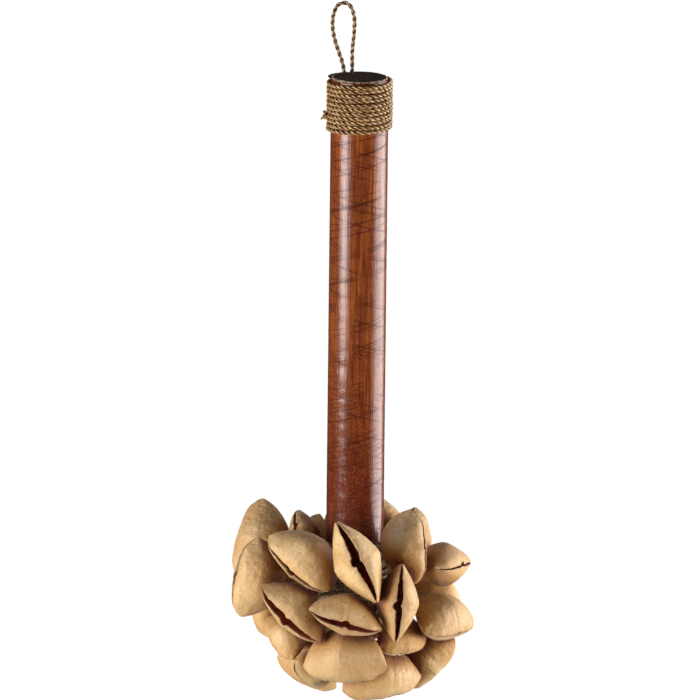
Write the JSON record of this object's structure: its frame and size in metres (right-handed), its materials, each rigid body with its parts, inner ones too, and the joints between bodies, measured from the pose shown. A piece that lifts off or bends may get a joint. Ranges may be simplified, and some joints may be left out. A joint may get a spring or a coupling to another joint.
{
  "type": "nut-shell stick rattle",
  "caption": "Hand rattle: a round varnished stick with a cord whipping and hanging loop at its top and a bunch of hollow slit nut shells tied round its foot.",
  "frame": {"origin": "middle of the stick, on its axis, where the hand grips it", "axes": "+Z along the stick towards the hanging loop, +X to the right and -Y towards the front, the side the picture shows"},
  "size_m": [0.1107, 0.1045, 0.321],
  "materials": {
    "varnished_wood": "gloss varnish",
    "nut_shell": "matt",
    "twisted_cord": "twisted two-ply cord"
  },
  "bodies": {
    "handle": {"stick": "varnished_wood", "top_whipping": "twisted_cord", "whipping_knot": "twisted_cord", "hanging_loop": "twisted_cord", "foot_binding": "twisted_cord", "foot_lashing": "twisted_cord", "tie_cords_upper": "twisted_cord", "tie_cords_middle": "twisted_cord", "tie_cords_lower": "twisted_cord"},
    "nut_shell_01": {"nut_shell_01": "nut_shell"},
    "nut_shell_02": {"nut_shell_02": "nut_shell"},
    "nut_shell_03": {"nut_shell_03": "nut_shell"},
    "nut_shell_04": {"nut_shell_04": "nut_shell"},
    "nut_shell_05": {"nut_shell_05": "nut_shell"},
    "nut_shell_06": {"nut_shell_06": "nut_shell"},
    "nut_shell_07": {"nut_shell_07": "nut_shell"},
    "nut_shell_08": {"nut_shell_08": "nut_shell"},
    "nut_shell_09": {"nut_shell_09": "nut_shell"},
    "nut_shell_10": {"nut_shell_10": "nut_shell"},
    "nut_shell_11": {"nut_shell_11": "nut_shell"},
    "nut_shell_12": {"nut_shell_12": "nut_shell"},
    "nut_shell_13": {"nut_shell_13": "nut_shell"},
    "nut_shell_14": {"nut_shell_14": "nut_shell"},
    "nut_shell_15": {"nut_shell_15": "nut_shell"},
    "nut_shell_16": {"nut_shell_16": "nut_shell"},
    "nut_shell_17": {"nut_shell_17": "nut_shell"},
    "nut_shell_18": {"nut_shell_18": "nut_shell"},
    "nut_shell_19": {"nut_shell_19": "nut_shell"},
    "nut_shell_20": {"nut_shell_20": "nut_shell"},
    "nut_shell_21": {"nut_shell_21": "nut_shell"},
    "nut_shell_22": {"nut_shell_22": "nut_shell"},
    "nut_shell_23": {"nut_shell_23": "nut_shell"},
    "nut_shell_24": {"nut_shell_24": "nut_shell"},
    "nut_shell_25": {"nut_shell_25": "nut_shell"},
    "nut_shell_26": {"nut_shell_26": "nut_shell"},
    "nut_shell_27": {"nut_shell_27": "nut_shell"},
    "nut_shell_28": {"nut_shell_28": "nut_shell"},
    "nut_shell_29": {"nut_shell_29": "nut_shell"},
    "nut_shell_30": {"nut_shell_30": "nut_shell"},
    "nut_shell_31": {"nut_shell_31": "nut_shell"},
    "nut_shell_32": {"nut_shell_32": "nut_shell"},
    "nut_shell_33": {"nut_shell_33": "nut_shell"},
    "nut_shell_34": {"nut_shell_34": "nut_shell"},
    "nut_shell_35": {"nut_shell_35": "nut_shell"}
  },
  "joints": [
    {"name": "nut_shell_01_swing", "type": "hinge", "parent": "handle", "child": "nut_shell_01", "pos_m": [0.00004, -0.02512, -0.09482], "axis": [-0.9976, -0.0698, 0], "range_deg": [0, 15]},
    {"name": "nut_shell_02_swing", "type": "hinge", "parent": "handle", "child": "nut_shell_02", "pos_m": [0.01261, -0.01559, -0.08844], "axis": [-0.342, -0.9397, 0], "range_deg": [0, 15]},
    {"name": "nut_shell_03_swing", "type": "hinge", "parent": "handle", "child": "nut_shell_03", "pos_m": [0.01695, 0.0089, -0.09294], "axis": [0.3256, -0.9455, 0], "range_deg": [0, 15]},
    {"name": "nut_shell_04_swing", "type": "hinge", "parent": "handle", "child": "nut_shell_04", "pos_m": [0.00779, 0.01795, -0.09423], "axis": [0.788, -0.6157, 0], "range_deg": [0, 12]},
    {"name": "nut_shell_05_swing", "type": "hinge", "parent": "handle", "child": "nut_shell_05", "pos_m": [-0.00315, 0.02243, -0.09144], "axis": [0.9903, 0.1392, 0], "range_deg": [0, 8]},
    {"name": "nut_shell_06_swing", "type": "hinge", "parent": "handle", "child": "nut_shell_06", "pos_m": [-0.01484, 0.01707, -0.1008], "axis": [0.7547, 0.6561, 0], "range_deg": [0, 15]},
    {"name": "nut_shell_07_swing", "type": "hinge", "parent": "handle", "child": "nut_shell_07", "pos_m": [-0.01828, 0.00963, -0.09405], "axis": [-0.6561, 0.7547, 0], "range_deg": [0, 5]},
    {"name": "nut_shell_08_swing", "type": "hinge", "parent": "handle", "child": "nut_shell_08", "pos_m": [-0.03122, 0.00951, -0.09537], "axis": [0.2419, 0.9703, 0], "range_deg": [0, 6]},
    {"name": "nut_shell_09_swing", "type": "hinge", "parent": "handle", "child": "nut_shell_09", "pos_m": [-0.01363, -0.01409, -0.08873], "axis": [-0.6947, 0.7193, 0], "range_deg": [0, 15]},
    {"name": "nut_shell_10_swing", "type": "hinge", "parent": "handle", "child": "nut_shell_10", "pos_m": [-0.03203, -0.00629, -0.1069], "axis": [-0.2924, 0.9563, 0], "range_deg": [0, 15]},
    {"name": "nut_shell_11_swing", "type": "hinge", "parent": "handle", "child": "nut_shell_11", "pos_m": [0.02958, 0.00076, -0.099], "axis": [-0.3907, -0.9205, 0], "range_deg": [0, 12]},
    {"name": "nut_shell_12_swing", "type": "hinge", "parent": "handle", "child": "nut_shell_12", "pos_m": [0.01503, 0.03503, -0.10085], "axis": [0.809, -0.5878, 0], "range_deg": [0, 7]},
    {"name": "nut_shell_13_swing", "type": "hinge", "parent": "handle", "child": "nut_shell_13", "pos_m": [-0.0155, 0.03424, -0.10785], "axis": [0.6947, 0.7193, 0], "range_deg": [0, 5]},
    {"name": "nut_shell_14_swing", "type": "hinge", "parent": "handle", "child": "nut_shell_14", "pos_m": [-0.01996, 0.00517, -0.10512], "axis": [-0.0175, 0.9998, 0], "range_deg": [0, 10]},
    {"name": "nut_shell_15_swing", "type": "hinge", "parent": "handle", "child": "nut_shell_15", "pos_m": [0.01902, -0.02325, -0.1095], "axis": [-0.9962, -0.0872, 0], "range_deg": [0, 4]},
    {"name": "nut_shell_16_swing", "type": "hinge", "parent": "handle", "child": "nut_shell_16", "pos_m": [-0.00254, -0.029, -0.11122], "axis": [-0.9962, 0.0872, 0], "range_deg": [0, 8]},
    {"name": "nut_shell_17_swing", "type": "hinge", "parent": "handle", "child": "nut_shell_17", "pos_m": [-0.01987, -0.01693, -0.11362], "axis": [-0.848, 0.5299, 0], "range_deg": [0, 7]},
    {"name": "nut_shell_18_swing", "type": "hinge", "parent": "handle", "child": "nut_shell_18", "pos_m": [0.03323, -0.00908, -0.11343], "axis": [-0.5878, -0.809, 0], "range_deg": [0, 15]},
    {"name": "nut_shell_19_swing", "type": "hinge", "parent": "handle", "child": "nut_shell_19", "pos_m": [0.02705, 0.01198, -0.11478], "axis": [0.309, -0.9511, 0], "range_deg": [0, 15]},
    {"name": "nut_shell_20_swing", "type": "hinge", "parent": "handle", "child": "nut_shell_20", "pos_m": [0.01461, 0.02635, -0.11416], "axis": [0.8746, -0.4848, 0], "range_deg": [0, 3.5]},
    {"name": "nut_shell_21_swing", "type": "hinge", "parent": "handle", "child": "nut_shell_21", "pos_m": [-0.00448, 0.02828, -0.11814], "axis": [0.9877, 0.1564, 0], "range_deg": [0, 5]},
    {"name": "nut_shell_22_swing", "type": "hinge", "parent": "handle", "child": "nut_shell_22", "pos_m": [-0.022, 0.02056, -0.12022], "axis": [0.7193, 0.6947, 0], "range_deg": [0, 4]},
    {"name": "nut_shell_23_swing", "type": "hinge", "parent": "handle", "child": "nut_shell_23", "pos_m": [0.00647, 0.03588, -0.12944], "axis": [0.891, -0.454, 0], "range_deg": [0, 3.5]},
    {"name": "nut_shell_24_swing", "type": "hinge", "parent": "handle", "child": "nut_shell_24", "pos_m": [-0.03039, 0.00872, -0.1182], "axis": [0.2756, 0.9613, 0], "range_deg": [0, 7]},
    {"name": "nut_shell_25_swing", "type": "hinge", "parent": "handle", "child": "nut_shell_25", "pos_m": [-0.02364, -0.0046, -0.12879], "axis": [-0.1908, 0.9816, 0], "range_deg": [0, 12]},
    {"name": "nut_shell_26_swing", "type": "hinge", "parent": "handle", "child": "nut_shell_26", "pos_m": [0.01882, -0.01758, -0.1201], "axis": [-0.7547, -0.6561, 0], "range_deg": [0, 3.5]},
    {"name": "nut_shell_27_swing", "type": "hinge", "parent": "handle", "child": "nut_shell_27", "pos_m": [-0.00348, -0.02847, -0.12412], "axis": [-0.9994, 0.0349, 0], "range_deg": [0, 8]},
    {"name": "nut_shell_28_swing", "type": "hinge", "parent": "handle", "child": "nut_shell_28", "pos_m": [0.00941, -0.01449, -0.13659], "axis": [-0.8387, -0.5446, 0], "range_deg": [0, 4]},
    {"name": "nut_shell_29_swing", "type": "hinge", "parent": "handle", "child": "nut_shell_29", "pos_m": [0.02522, -0.00357, -0.13544], "axis": [-0.1908, -0.9816, 0], "range_deg": [0, 6]},
    {"name": "nut_shell_30_swing", "type": "hinge", "parent": "handle", "child": "nut_shell_30", "pos_m": [0.0187, 0.01409, -0.1345], "axis": [0.6018, -0.7986, 0], "range_deg": [0, 15]},
    {"name": "nut_shell_31_swing", "type": "hinge", "parent": "handle", "child": "nut_shell_31", "pos_m": [-0.00258, 0.02419, -0.13756], "axis": [0.9781, 0.2079, 0], "range_deg": [0, 9]},
    {"name": "nut_shell_32_swing", "type": "hinge", "parent": "handle", "child": "nut_shell_32", "pos_m": [-0.01706, 0.01432, -0.14309], "axis": [0.6428, 0.766, 0], "range_deg": [0, 5]},
    {"name": "nut_shell_33_swing", "type": "hinge", "parent": "handle", "child": "nut_shell_33", "pos_m": [-0.01187, -0.01334, -0.1375], "axis": [-0.3256, 0.9455, 0], "range_deg": [0, 4]},
    {"name": "nut_shell_34_swing", "type": "hinge", "parent": "handle", "child": "nut_shell_34", "pos_m": [0.00301, -0.00011, -0.14265], "axis": [-0.1392, -0.9903, 0], "range_deg": [0, 11]},
    {"name": "nut_shell_35_swing", "type": "hinge", "parent": "handle", "child": "nut_shell_35", "pos_m": [-0.00798, 0.00288, -0.1324], "axis": [0.0349, 0.9994, 0], "range_deg": [0, 6]}
  ]
}
